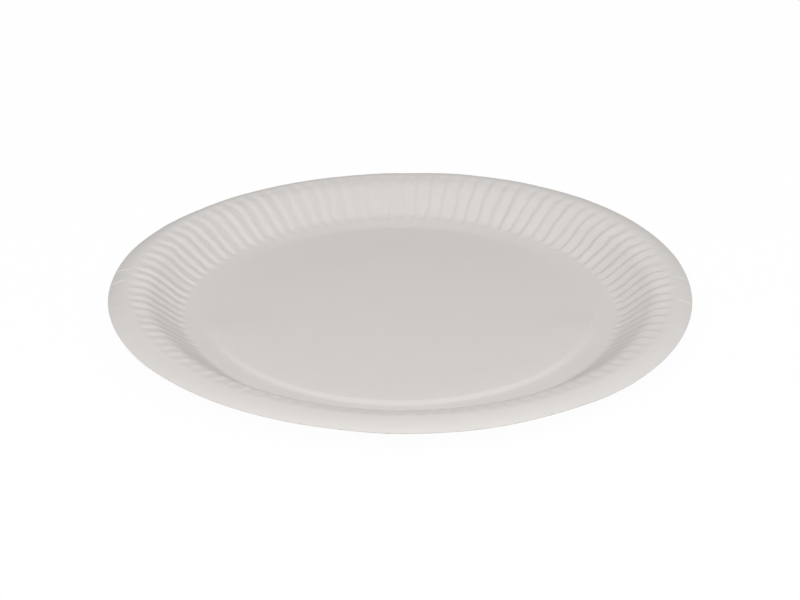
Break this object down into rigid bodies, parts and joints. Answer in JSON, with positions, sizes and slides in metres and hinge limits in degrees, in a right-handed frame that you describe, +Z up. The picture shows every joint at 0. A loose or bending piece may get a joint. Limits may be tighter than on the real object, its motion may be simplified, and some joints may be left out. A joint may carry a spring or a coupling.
{
  "type": "paper plate",
  "caption": "Round pressed paperboard plate for food, with a flat raised middle, a foot ring, a sloping fluted wall and a smooth lip that turns down.",
  "frame": {"origin": "centre of the face the plate stands on, at the height of the underside of its foot ring", "axes": "+Z up through the middle of the plate, which is round about it; X and Y lie in the surface it stands on"},
  "size_m": [0.23, 0.23, 0.0128],
  "materials": {
    "board": "matte uncoated warm white paperboard"
  },
  "bodies": {
    "root": {"plate": "board"}
  },
  "joints": []
}
